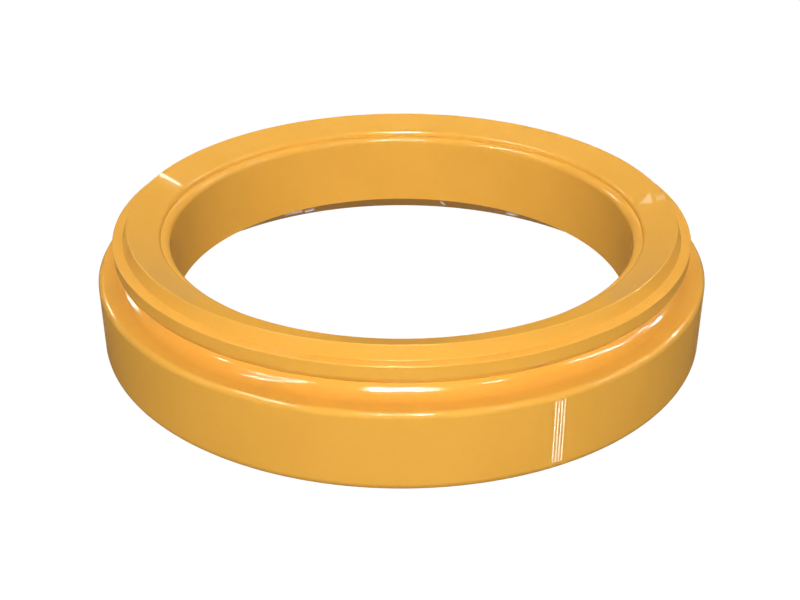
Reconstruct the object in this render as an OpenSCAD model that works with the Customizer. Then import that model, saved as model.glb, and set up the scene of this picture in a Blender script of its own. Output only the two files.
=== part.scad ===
// Track link seal: a moulded ring that closes the gap between a track link's counterbore and the
// end of its bushing. One piece, turned about Z, standing on its foot with the sealing lip up.
// The origin is the centre of the foot plane. All sizes are in millimetres.

/* [Envelope] */
// Diameter of the outer wall, which seats in the link's counterbore
outer_d = 88; // [60:0.5:120]
// Width of the ring, from the outer wall in to the bore, which clears the track pin
ring_w = 10.45; // [9.5:0.05:15]
// Height from the foot plane to the crest of the lip
height = 18.2; // [16.5:0.05:22]

/* [Base] */
// Height of the shoulder above the foot plane
base_h = 11.4; // [8:0.1:12.4]
// Radius of the shoulder's outer edge
shoulder_edge_r = 0.8; // [0.3:0.1:1.2]
// Radius of the outer wall's lower edge
base_edge_r = 1.4; // [0.5:0.1:1.6]
// Width of the foot, from the relief to the line of the outer wall
foot_w = 2.8; // [2.2:0.1:5]
// Radius of the foot's inner edge
foot_edge_r = 0.3; // [0.1:0.1:0.6]
// Height of the conical relief where it meets the bore
relief_h = 4.7; // [2:0.1:7]

/* [Groove] */
// Distance from the outer wall to where the shoulder turns into the groove's cove
shoulder_w = 2.2; // [1.4:0.1:3]
// Radius of the cove at the groove's floor
cove_r = 3.1; // [2:0.1:3.4]
// Lean of the groove's inner wall from the vertical, in degrees
groove_lean = 25; // [5:1:30]
// Radius of the groove's inner corner
groove_root_r = 0.2; // [0.1:0.05:0.4]

/* [Collar] */
// Step from the outer wall in to the collar's wall
collar_inset = 2.5; // [2:0.1:4]
// Height of the collar, from the groove's roof to the rim
collar_h = 2.85; // [2:0.05:3.6]
// Radius of the collar's lower edge
collar_edge_r = 1.35; // [0.4:0.05:1.6]
// Radius of the rim's outer edge
rim_edge_r = 0.15; // [0.1:0.05:0.4]

/* [Lip] */
// Width of the flat rim, from the collar's wall to the lip's foot
rim_w = 1.4; // [0.8:0.1:2]
// Height of the lip above the rim
lip_h = 1.75; // [1:0.05:2.6]
// Slope of the lip's outer flank, in degrees
lip_slope = 69; // [45:1:75]
// Radius of the fillet between the lip's flank and the rim
lip_fillet_r = 0.15; // [0.1:0.05:0.6]
// Radius of the lip's crest
lip_edge_r = 0.15; // [0.1:0.05:0.3]
// Slope of the dished top face, in degrees
dish_slope = 21; // [15:1:32]

/* [Bore edge] */
// Width of the ledge between the bore and the step
ledge_w = 1.25; // [1:0.05:2.4]
// Height of the step from the ledge to the dished face
step_h = 0.6; // [0.3:0.05:1.2]
// Radius of the step's upper edge
step_edge_r = 0.75; // [0.3:0.05:0.8]
// Radius of the bore's upper edge
bore_edge_r = 1; // [0.2:0.05:1.2]

/* [Hidden] */
$fn = 240;
arc_overlap = 0.0003;

outer_r = outer_d / 2;
bore_r = outer_r - ring_w;
collar_r = outer_r - collar_inset;
rim_z = height - lip_h;
roof_z = rim_z - collar_h;
cove_corner_r = outer_r - shoulder_w - cove_r * tan((90 - groove_lean) / 2);
root_r = cove_corner_r - (roof_z - base_h) * tan(groove_lean);
lip_foot_r = collar_r - rim_w;
// The crest's sharp corner stands above its rounding, which is what reaches the full height
crest_z = height + lip_edge_r * (cos((lip_slope - dish_slope) / 2) / cos((lip_slope + dish_slope) / 2) - 1);
crest_r = lip_foot_r - (crest_z - rim_z) / tan(lip_slope);
step_r = bore_r + ledge_w;
dish_z = crest_z - (crest_r - step_r) * tan(dish_slope);
ledge_z = dish_z - step_h;

// The section's corners in order round it, as [radius, height, corner rounding]
SECTION = [
    [bore_r, relief_h, 0],
    [bore_r, ledge_z, bore_edge_r],
    [step_r, ledge_z, 0],
    [step_r, dish_z, step_edge_r],
    [crest_r, crest_z, lip_edge_r],
    [lip_foot_r, rim_z, lip_fillet_r],
    [collar_r, rim_z, rim_edge_r],
    [collar_r, roof_z, collar_edge_r],
    [root_r, roof_z, groove_root_r],
    [cove_corner_r, base_h, cove_r],
    [outer_r, base_h, shoulder_edge_r],
    [outer_r, 0, base_edge_r],
    [outer_r - foot_w, 0, foot_edge_r],
];

function corner(i) = [SECTION[i][0], SECTION[i][1]];
function previous(i) = (i + len(SECTION) - 1) % len(SECTION);
function next(i) = (i + 1) % len(SECTION);
function unit(v) = v / norm(v);
function edge(i, j) = corner(j) - corner(i);
function half_angle(i) = acos(unit(edge(i, previous(i))) * unit(edge(i, next(i)))) / 2;
function is_outer(i) = cross(edge(previous(i), i), edge(i, next(i))) < 0;

// A rounding takes up this length of each edge beside its corner
function reach(i) = SECTION[i][2] / tan(half_angle(i));
// Two roundings that share an edge shrink together where the edge is too short for both
function edge_share(i, j) = min(1, norm(edge(i, j)) / max(reach(i) + reach(j), 0.001));
function rounding(i) = SECTION[i][2] * min(edge_share(i, previous(i)), edge_share(i, next(i)));

// The piece between a corner and its rounding: a kite from the arc's centre past the corner, less the arc.
// The arc stands a hair past tangency, so that it crosses both edges instead of only touching them.
module corner_piece(i) {
    r = rounding(i);
    u = unit(edge(i, previous(i)));
    v = unit(edge(i, next(i)));
    tangent = r / tan(half_angle(i));
    to_centre = unit(u + v) * (r / sin(half_angle(i)) - arc_overlap);
    translate(corner(i)) difference() {
        polygon([-to_centre, u * tangent, to_centre, v * tangent]);
        translate(to_centre) circle(r);
    }
}

// The section runs clockwise, so an outer corner turns right and an inner one turns left
module corner_pieces(outer) {
    for (i = [0 : len(SECTION) - 1])
        if (SECTION[i][2] > 0 && is_outer(i) == outer) corner_piece(i);
}

module section() {
    difference() {
        union() {
            polygon([for (i = [0 : len(SECTION) - 1]) corner(i)]);
            corner_pieces(false);
        }
        corner_pieces(true);
    }
}

module seal_ring() {
    color("orange") rotate_extrude() section();
}

seal_ring();
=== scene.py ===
"""Track link seal: the moulded ring in glossy amber polyurethane, on a white studio floor."""
import math

import bpy
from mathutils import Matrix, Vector


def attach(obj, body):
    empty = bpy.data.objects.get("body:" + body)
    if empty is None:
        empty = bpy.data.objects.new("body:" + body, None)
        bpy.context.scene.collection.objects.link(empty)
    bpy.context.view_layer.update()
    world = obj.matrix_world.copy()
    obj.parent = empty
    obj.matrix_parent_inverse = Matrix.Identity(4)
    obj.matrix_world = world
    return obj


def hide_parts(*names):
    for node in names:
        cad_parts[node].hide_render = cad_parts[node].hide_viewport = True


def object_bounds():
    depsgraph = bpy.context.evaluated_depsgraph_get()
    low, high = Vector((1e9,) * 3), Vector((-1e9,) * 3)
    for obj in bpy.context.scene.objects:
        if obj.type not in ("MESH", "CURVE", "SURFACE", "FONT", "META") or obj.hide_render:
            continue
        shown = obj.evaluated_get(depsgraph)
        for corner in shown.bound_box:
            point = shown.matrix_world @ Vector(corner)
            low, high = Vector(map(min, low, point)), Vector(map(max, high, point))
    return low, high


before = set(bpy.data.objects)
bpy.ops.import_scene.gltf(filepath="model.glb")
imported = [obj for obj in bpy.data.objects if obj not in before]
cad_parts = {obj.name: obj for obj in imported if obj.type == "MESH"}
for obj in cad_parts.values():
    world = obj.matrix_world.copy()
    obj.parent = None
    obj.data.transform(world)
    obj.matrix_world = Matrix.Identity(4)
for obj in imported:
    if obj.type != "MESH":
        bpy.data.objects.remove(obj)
cad_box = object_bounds()

# Millimetres in a metre
MM = 1000

# The ring's sizes in millimetres and its slopes in degrees. The solid gives the outer radius and the height
OUTER_R = round(cad_box[1][0] * MM, 2)
HEIGHT = round(cad_box[1][2] * MM, 2)
RING_W = 10.45
BORE_R = OUTER_R - RING_W
BASE_H = 11.4
SHOULDER_EDGE_R = 0.8
BASE_EDGE_R = 1.4
FOOT_W = 2.8
FOOT_EDGE_R = 0.3
RELIEF_H = 4.7
SHOULDER_W = 2.2
COVE_R = 3.1
GROOVE_LEAN = 25.0
GROOVE_ROOT_R = 0.2
COLLAR_INSET = 2.5
COLLAR_H = 2.85
COLLAR_EDGE_R = 1.35
RIM_EDGE_R = 0.15
RIM_W = 1.4
LIP_H = 1.75
LIP_SLOPE = 69.0
LIP_FILLET_R = 0.15
LIP_EDGE_R = 0.15
DISH_SLOPE = 21.0
LEDGE_W = 1.25
STEP_H = 0.6
STEP_EDGE_R = 0.75
BORE_EDGE_R = 1.0

# Steps of the turned surface: degrees along each rounding, and faces round the ring
ROUNDING_STEP = 7.0
TURN_STEPS = 480

# The polyurethane: its deepest and palest amber, and its roughness where it is glossiest and dullest
AMBER_DEEP = (0.73, 0.37, 0.055, 1)
AMBER_PALE = (0.773, 0.393, 0.0605, 1)
GLOSSIEST, DULLEST = 0.085, 0.11
# The outer wall's share of that roughness, and how far inside its radius the polish begins and is full
WALL_ROUGHNESS = 0.22
POLISH_START, POLISH_FULL = 0.1, 0.03
# Distance in millimetres between the mould's turning lines, and their depth beside the orange peel's
TURNING_PITCH = 0.25
TURNING_DEPTH = 0.06
# The range that the noise mostly keeps to, and the shares of its clouds and specks in the colour
NOISE_LOW, NOISE_HIGH = 0.3, 0.7
CLOUD_SHARE, SPECK_SHARE = 0.75, 0.25

# The floor: half its width and its height in metres, its tone in its shading,
# and an amber tint that only the gloss sees, a painted reflection that makes the ring's edges mirror amber,
# not grey
FLOOR_HALF = 4.0
FLOOR_Z = -0.0002
FLOOR_GREY = (0.15, 0.15, 0.15, 1)
# Painted reflection: the gloss alone sees this amber in place of the floor's grey
FLOOR_PAINTED_REFLECTION = (0.3, 0.15, 0.03, 1)
WHITE = (1, 1, 1, 1)
# The glow that whitens the floor to the eye, its share beside the shading, and what the gloss shows of it
FLOOR_GLOW = 1.4
FLOOR_GLOW_SHARE = 0.7
FLOOR_IN_GLOSS = 0.05
# The surroundings: their light on the ring, what the gloss shows of them, how grey they are overhead,
# and the steepness of a direction, as its Z, where they start and end turning grey
AMBIENT = 0.107
WORLD_IN_GLOSS = 0.12
OVERHEAD_GREY = 0.15
GREY_START, GREY_END = 0.05, 0.45

# Soft lamps that light the ring and don't show in its gloss: azimuth and elevation in degrees,
# distance and size in metres, power in watts, and whether they cast shadows
LIGHTING_LAMPS = (
    ("front", 0, 15, 1.2, (0.8, 0.2), 11.3, False),
    ("overhead", 0, 70, 0.6, (0.4, 0.4), 1.01, False),
    ("near", 0, 50, 0.16, (0.06, 0.06), 0.055, False),
    ("back", 180, 60, 0.6, (0.4, 0.4), 1.84, True),
    ("side_left", -120, 10, 0.6, (0.4, 0.2), 0.69, False),
    ("side_right", 120, 10, 0.6, (0.4, 0.2), 0.69, False),
)
# Lamps that show only as glints in the gloss, in the same units. They cast no shadows
GLINT_LAMPS = (
    ("highlight", 0, 62, 0.6, (0.19, 0.19), 6.4),
    ("left", -66, 56, 6.0, (2.6, 0.2), 90),
    ("left_low", -87, 42, 6.0, (0.5, 0.2), 25),
    ("left_high", -94, 64, 6.0, (3.2, 0.2), 100),
    ("right", 47, 54, 6.0, (0.8, 0.2), 40),
    ("right_low", 97, 41, 6.0, (3.4, 0.2), 120),
    ("right_far", 118, 32, 6.0, (0.5, 0.2), 25),
    ("rear", 167.8, 36, 6.0, (0.12, 0.12), 0.4),
    ("edge_left", -138, 25.5, 6.0, (0.8, 0.2), 45),
    ("edge_right", 131, 32, 6.0, (0.7, 0.2), 40),
)

# The sharp glints on the dished face and the flecks on the relief at the back,
# each by its four corners in the picture, in pixels
BRIGHT_GLINT = ((157.5, 173), (159, 172), (180.5, 184.5), (179.5, 185.5))
DIM_GLINTS = (
    ((640, 203), (645.5, 197.5), (651.5, 192), (651.5, 203)),
    ((656.8, 197.5), (664, 193.5), (665.2, 197), (657.2, 200.3)),
)
FLECKS = (
    ((284, 214.5), (302, 210.5), (302.5, 212), (285, 215.5)),
    ((304.5, 211.3), (314, 208.6), (315, 210), (306, 212.5)),
    ((439, 201.5), (441.5, 201.5), (446, 205), (443.5, 205)),
    ((504.5, 212.6), (509, 212.8), (519, 215.8), (511, 215.4)),
)
# The upright lines on the outer wall: how many, the first one's azimuth, their spacing and
# half width in degrees, and the heights of their ends in millimetres
LINE_COUNT = 4
LINE_AZIMUTH = 25.1
LINE_SPACING = 0.56
LINE_HALF_WIDTH = 0.085
LINE_LOW, LINE_HIGH = 1.5, 10.6
# Distance in millimetres of the cards over the dished face from their glints
CARD_DISTANCE = 6.0

# The camera's place in metres and its tilt down in degrees
CAMERA_AT = (0.0, -0.16641, 0.09326)
CAMERA_TILT = 28.52
# The picture's size, the focal length, and how far the ring's axis lies right of the middle, in pixels
IMAGE_W, IMAGE_H = 800, 600
FOCAL_PX = 1251.0
AXIS_OFFSET_PX = 1.64


def put(tree, socket, value):
    """Links the socket to the value where that is a socket too, and sets it otherwise."""
    if isinstance(value, bpy.types.NodeSocket):
        tree.links.new(value, socket)
    else:
        socket.default_value = value


def node(tree, kind, **inputs):
    """Adds a shader node and puts values on its sockets by name."""
    made = tree.nodes.new(kind)
    for name, value in inputs.items():
        put(tree, made.inputs[name.replace("_", " ")], value)
    return made


def math_node(tree, operation, a, b=0.0):
    made = tree.nodes.new("ShaderNodeMath")
    made.operation = operation
    put(tree, made.inputs[0], a)
    put(tree, made.inputs[1], b)
    return made.outputs[0]


def map_range(tree, value, low, high, to_low, to_high):
    made = node(tree, "ShaderNodeMapRange")
    for i, v in enumerate((value, low, high, to_low, to_high)):
        put(tree, made.inputs[i], v)
    return made.outputs[0]


def noise(tree, where, scale, detail, rough):
    made = node(tree, "ShaderNodeTexNoise", Vector=where, Scale=scale, Detail=detail, Roughness=rough)
    return made.outputs["Fac"]


def mix_colours(tree, share, first, second):
    made = node(tree, "ShaderNodeMix")
    made.data_type = "RGBA"
    # The node's sockets for colours come after those for numbers and vectors
    for i, v in ((0, share), (6, first), (7, second)):
        put(tree, made.inputs[i], v)
    return made.outputs[2]


def mix_shaders(tree, share, first, second):
    made = node(tree, "ShaderNodeMixShader", Fac=share)
    put(tree, made.inputs[1], first.outputs[0])
    put(tree, made.inputs[2], second.outputs[0])
    return made


def finish_tree(tree, shader, kind="ShaderNodeOutputMaterial"):
    output = node(tree, kind)
    put(tree, output.inputs["Surface"], shader.outputs[0])


def new_material(name):
    made = bpy.data.materials.new(name)
    made.use_nodes = True
    made.node_tree.nodes.clear()
    return made, made.node_tree


def new_object(name, data):
    made = bpy.data.objects.new(name, data)
    bpy.context.scene.collection.objects.link(made)
    return made


def seen_directly(tree, in_gloss):
    """1 for rays from the camera or through glass, in_gloss for the gloss, 0 for light on the object."""
    path = tree.nodes.new("ShaderNodeLightPath").outputs
    gloss = math_node(tree, "MULTIPLY", path["Is Glossy Ray"], in_gloss)
    direct = math_node(tree, "MAXIMUM", path["Is Camera Ray"], path["Is Transmission Ray"])
    return math_node(tree, "MAXIMUM", direct, gloss)


def tangent(degrees):
    return math.tan(math.radians(degrees))


def section():
    """The section's corners, up the bore and round, each as radius, height and rounding in millimetres."""
    rim_z = HEIGHT - LIP_H
    roof_z = rim_z - COLLAR_H
    collar_r = OUTER_R - COLLAR_INSET
    cove_corner_r = OUTER_R - SHOULDER_W - COVE_R * tangent((90 - GROOVE_LEAN) / 2)
    root_r = cove_corner_r - (roof_z - BASE_H) * tangent(GROOVE_LEAN)
    lip_foot_r = collar_r - RIM_W
    # The crest's sharp corner stands above its rounding, which is what reaches the full height
    half_sum = math.radians(LIP_SLOPE + DISH_SLOPE) / 2
    half_gap = math.radians(LIP_SLOPE - DISH_SLOPE) / 2
    crest_z = HEIGHT + LIP_EDGE_R * (math.cos(half_gap) / math.cos(half_sum) - 1)
    crest_r = lip_foot_r - (crest_z - rim_z) / tangent(LIP_SLOPE)
    step_r = BORE_R + LEDGE_W
    dish_z = crest_z - (crest_r - step_r) * tangent(DISH_SLOPE)
    ledge_z = dish_z - STEP_H
    return (
        (BORE_R, RELIEF_H, 0.0),
        (BORE_R, ledge_z, BORE_EDGE_R),
        (step_r, ledge_z, 0.0),
        (step_r, dish_z, STEP_EDGE_R),
        (crest_r, crest_z, LIP_EDGE_R),
        (lip_foot_r, rim_z, LIP_FILLET_R),
        (collar_r, rim_z, RIM_EDGE_R),
        (collar_r, roof_z, COLLAR_EDGE_R),
        (root_r, roof_z, GROOVE_ROOT_R),
        (cove_corner_r, BASE_H, COVE_R),
        (OUTER_R, BASE_H, SHOULDER_EDGE_R),
        (OUTER_R, 0.0, BASE_EDGE_R),
        (OUTER_R - FOOT_W, 0.0, FOOT_EDGE_R),
    )


def outline():
    """The rounded section as points in order, each with the outward normals before and after it."""
    sized = section()
    corners = [Vector((r, z)) / MM for r, z, rounding in sized]
    points = []
    for i, corner in enumerate(corners):
        back = (corners[i - 1] - corner).normalized()
        ahead = (corners[(i + 1) % len(corners)] - corner).normalized()
        arriving = Vector((back.y, -back.x))
        leaving = Vector((-ahead.y, ahead.x))
        r = sized[i][2] / MM
        if r == 0:
            points.append((corner, arriving, leaving))
            continue
        first = math.atan2(arriving.y, arriving.x)
        turn = (math.atan2(leaving.y, leaving.x) - first + math.pi) % (2 * math.pi) - math.pi
        side = -1 if turn > 0 else 1
        centre = corner + back * (r / math.tan(back.angle(ahead) / 2)) - arriving * (side * r)
        steps = math.ceil(abs(math.degrees(turn)) / ROUNDING_STEP)
        for k in range(steps + 1):
            a = first + turn * k / steps
            normal = Vector((math.cos(a), math.sin(a)))
            points.append((centre + normal * (side * r), normal, normal))
    return points


def turned_ring():
    """The ring turned from its section, finely enough that its edges and highlights run smooth."""
    points = outline()
    count = len(points)
    angles = [2 * math.pi * j / TURN_STEPS for j in range(TURN_STEPS)]
    turns = [(math.cos(a), math.sin(a)) for a in angles]
    vertices = [(c * at.x, s * at.x, at.y) for c, s in turns for at, before, after in points]
    faces, normals = [], []
    for j in range(TURN_STEPS):
        j2 = (j + 1) % TURN_STEPS
        for k in range(count):
            k2 = (k + 1) % count
            faces.append((j * count + k, j * count + k2, j2 * count + k2, j2 * count + k))
            start, end = points[k][2], points[k2][1]
            for turn, n in ((j, start), (j, end), (j2, end), (j2, start)):
                c, s = turns[turn]
                normals.append((c * n.x, s * n.x, n.y))
    mesh = bpy.data.meshes.new("turned_ring")
    mesh.from_pydata(vertices, [], faces)
    mesh.shade_smooth()
    mesh.normals_split_custom_set(normals)
    mesh.materials.append(polyurethane())
    made = new_object("turned_ring", mesh)
    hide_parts("seal_ring")
    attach(made, "root")


def polyurethane():
    """Amber polyurethane with a faint cloudiness, a soft orange peel and the mould's turning lines."""
    made, tree = new_material("amber_polyurethane")
    where = tree.nodes.new("ShaderNodeTexCoord").outputs["Object"]
    cloud = noise(tree, where, scale=90.0, detail=3.0, rough=0.5)
    speck = noise(tree, where, scale=900.0, detail=2.0, rough=0.6)
    clouds = math_node(tree, "MULTIPLY", cloud, CLOUD_SHARE)
    specks = math_node(tree, "MULTIPLY", speck, SPECK_SHARE)
    ramp = node(tree, "ShaderNodeValToRGB", Fac=math_node(tree, "ADD", clouds, specks))
    low, high = ramp.color_ramp.elements
    low.position, low.color = NOISE_LOW, AMBER_DEEP
    high.position, high.color = NOISE_HIGH, AMBER_PALE

    split = node(tree, "ShaderNodeSeparateXYZ", Vector=where).outputs
    flat = node(tree, "ShaderNodeCombineXYZ", X=split["X"], Y=split["Y"])
    length = tree.nodes.new("ShaderNodeVectorMath")
    length.operation = "LENGTH"
    put(tree, length.inputs[0], flat.outputs[0])
    radius = length.outputs["Value"]
    along = math_node(tree, "ADD", radius, split["Z"])
    turned = math_node(tree, "SINE", math_node(tree, "MULTIPLY", along, 2 * math.pi * MM / TURNING_PITCH))
    peel = noise(tree, where, scale=1500.0, detail=2.0, rough=0.5)
    relief = math_node(tree, "ADD", peel, math_node(tree, "MULTIPLY", turned, TURNING_DEPTH))
    bump = node(tree, "ShaderNodeBump", Strength=0.05, Distance=0.00004, Height=relief)

    dull = map_range(tree, cloud, NOISE_LOW, NOISE_HIGH, GLOSSIEST, DULLEST)
    polish_start, polish_full = (OUTER_R - POLISH_START) / MM, (OUTER_R - POLISH_FULL) / MM
    wall = map_range(tree, radius, polish_start, polish_full, 1.0, WALL_ROUGHNESS)
    shader = node(
        tree,
        "ShaderNodeBsdfPrincipled",
        Base_Color=ramp.outputs["Color"],
        Roughness=math_node(tree, "MULTIPLY", dull, wall),
        IOR=1.36,
        Normal=bump.outputs["Normal"],
    )
    finish_tree(tree, shader)
    return made


def floor_material():
    """A white sweep: mostly plain white to the eye, with a share of real shading that keeps the shadow, and
    an amber tint in the gloss that is painted reflection.
    """
    made, tree = new_material("studio_floor")
    in_gloss = tree.nodes.new("ShaderNodeLightPath").outputs["Is Glossy Ray"]
    # Grey in the floor's shading, amber for gloss rays only: the amber is a painted reflection on the ring
    grey_and_painted_reflection = mix_colours(tree, in_gloss, FLOOR_GREY, FLOOR_PAINTED_REFLECTION)
    shade = node(tree, "ShaderNodeBsdfDiffuse", Color=grey_and_painted_reflection)
    white = node(tree, "ShaderNodeEmission", Color=WHITE, Strength=FLOOR_GLOW)
    share = math_node(tree, "MULTIPLY", seen_directly(tree, FLOOR_IN_GLOSS), FLOOR_GLOW_SHARE)
    finish_tree(tree, mix_shaders(tree, share, shade, white))
    return made


def studio_world():
    """White along the horizon and grey overhead to the eye; an even, weaker light on the object."""
    world = bpy.data.worlds.new("studio")
    bpy.context.scene.world = world
    world.use_nodes = True
    tree = world.node_tree
    tree.nodes.clear()
    where = tree.nodes.new("ShaderNodeTexCoord").outputs["Generated"]
    up = node(tree, "ShaderNodeSeparateXYZ", Vector=where).outputs["Z"]
    grey = map_range(tree, up, GREY_START, GREY_END, 1.0, OVERHEAD_GREY)
    seen = node(tree, "ShaderNodeBackground", Color=WHITE, Strength=grey)
    light = node(tree, "ShaderNodeBackground", Color=WHITE, Strength=AMBIENT)
    mix = mix_shaders(tree, seen_directly(tree, WORLD_IN_GLOSS), light, seen)
    finish_tree(tree, mix, "ShaderNodeOutputWorld")


def studio_floor():
    mesh = bpy.data.meshes.new("studio_floor")
    square = ((-1, -1), (1, -1), (1, 1), (-1, 1))
    mesh.from_pydata([(FLOOR_HALF * x, FLOOR_HALF * y, FLOOR_Z) for x, y in square], [], [(0, 1, 2, 3)])
    made = new_object("studio_floor", mesh)
    mesh.materials.append(floor_material())


def towards(azimuth, elevation=0.0):
    """A direction from the ring's middle. Azimuth 0 is the camera's side, positive to the right."""
    a, e = math.radians(azimuth), math.radians(elevation)
    return Vector((math.sin(a) * math.cos(e), -math.cos(a) * math.cos(e), math.sin(e)))


def lamp(name, azimuth, elevation, distance, size, power, shadow):
    """A soft area lamp aimed at the ring and hidden from the camera."""
    data = bpy.data.lights.new(name, "AREA")
    data.shape = "RECTANGLE"
    data.size, data.size_y = size
    data.energy = power
    data.use_shadow = shadow
    data.cycles.use_multiple_importance_sampling = shadow
    made = new_object(name, data)
    way = towards(azimuth, elevation)
    made.location = way * distance
    made.rotation_euler = way.to_track_quat("Z", "Y").to_euler()
    made.visible_camera = False
    return made


def sight(pixel):
    """The direction in which the camera sees a pixel."""
    tilt = math.radians(CAMERA_TILT)
    ahead = Vector((0, math.cos(tilt), -math.sin(tilt)))
    up = Vector((0, math.sin(tilt), math.cos(tilt)))
    right = Vector((1, 0, 0))
    x, y = pixel
    across, down = x - IMAGE_W / 2 - AXIS_OFFSET_PX, y - IMAGE_H / 2
    return (ahead * FOCAL_PX + right * across - up * down).normalized()


def mirrored(way, normal):
    return way - normal * (2 * way.dot(normal))


def seen_on_cone(pixel, first, last):
    """The point of a conical face that the camera sees at a pixel, and the way its gloss mirrors the sight.

    The face runs from the first to the last of two neighbouring corners of the section.
    """
    first_r, first_z = first[:2]
    last_r, last_z = last[:2]
    start, way = Vector(CAMERA_AT) * MM, sight(pixel)
    growth = (last_r - first_r) / (last_z - first_z)
    cone_r = first_r + growth * (start.z - first_z)
    # The sight meets the cone where both are as far from the axis, which is a quadratic in the distance
    a = way.x ** 2 + way.y ** 2 - (growth * way.z) ** 2
    b = start.x * way.x + start.y * way.y - cone_r * growth * way.z
    c = start.x ** 2 + start.y ** 2 - cone_r ** 2
    root = math.sqrt(b ** 2 - a * c)
    crossings = [start + way * ((-b + side * root) / a) for side in (-1, 1)]
    point = min(crossings, key=lambda at: abs(at.z - (first_z + last_z) / 2))
    outwards = Vector((point.x, point.y, 0)).normalized()
    up = Vector((0, 0, 1))
    normal = (up * (last_r - first_r) - outwards * (last_z - first_z)).normalized()
    return point, mirrored(way, normal)


def seen_on_wall(azimuth, height):
    """The outer wall's point at an azimuth and height, and the way its gloss mirrors the camera's sight."""
    outwards = towards(azimuth)
    point = outwards * OUTER_R + Vector((0, 0, height))
    return point, mirrored(point - Vector(CAMERA_AT) * MM, outwards)


def on_floor(point, way):
    return point - way * (point.z / way.z)


def wall_cards():
    """The corners of narrow cards on the floor, which show as upright lines on the outer wall."""
    corners = []
    for k in range(LINE_COUNT):
        azimuth = LINE_AZIMUTH + LINE_SPACING * k
        left, right = azimuth - LINE_HALF_WIDTH, azimuth + LINE_HALF_WIDTH
        for a, z in ((left, LINE_LOW), (right, LINE_LOW), (right, LINE_HIGH), (left, LINE_HIGH)):
            corners.append(on_floor(*seen_on_wall(a, z)))
    return corners


def dish_cards(glints):
    """The corners of cards over the dished face that show as these glints on it."""
    step, crest = section()[3:5]
    sights = [seen_on_cone(pixel, step, crest) for glint in glints for pixel in glint]
    return [point + way * CARD_DISTANCE for point, way in sights]


def relief_cards(glints):
    """The corners of cards on the floor that show as these glints on the conical relief under the bore."""
    corners = section()
    foot, bore = corners[-1], corners[0]
    return [on_floor(*seen_on_cone(pixel, foot, bore)) for glint in glints for pixel in glint]


def glint_cards(name, corners, strength):
    """Bright cards that only the gloss sees, each by its four corners in millimetres."""
    mesh = bpy.data.meshes.new(name)
    mesh.from_pydata([v / MM for v in corners], [], [range(i, i + 4) for i in range(0, len(corners), 4)])
    material, tree = new_material(name)
    material.cycles.emission_sampling = "NONE"
    finish_tree(tree, node(tree, "ShaderNodeEmission", Color=WHITE, Strength=strength))
    mesh.materials.append(material)
    made = new_object(name, mesh)
    made.visible_camera = made.visible_diffuse = made.visible_transmission = False
    made.visible_volume_scatter = made.visible_shadow = False


def camera():
    data = bpy.data.cameras.new("camera")
    data.sensor_width = 36.0
    data.lens = FOCAL_PX * data.sensor_width / IMAGE_W
    data.shift_x = -AXIS_OFFSET_PX / IMAGE_W
    data.clip_start = 0.01
    made = new_object("camera", data)
    made.location = CAMERA_AT
    made.rotation_euler = (math.radians(90 - CAMERA_TILT), 0, 0)
    bpy.context.scene.camera = made


bpy.context.scene.view_settings.view_transform = "Standard"
camera()
studio_floor()
studio_world()
for name, azimuth, elevation, distance, size, power, shadow in LIGHTING_LAMPS:
    lamp(name, azimuth, elevation, distance, size, power, shadow).visible_glossy = False
for name, azimuth, elevation, distance, size, power in GLINT_LAMPS:
    lamp(name, azimuth, elevation, distance, size, power, shadow=False).visible_diffuse = False
glint_cards("wall_cards", wall_cards(), strength=25.0)
glint_cards("bright_card", dish_cards([BRIGHT_GLINT]), strength=25.0)
glint_cards("dim_cards", dish_cards(DIM_GLINTS), strength=3.0)
glint_cards("fleck_cards", relief_cards(FLECKS), strength=0.9)
turned_ring()
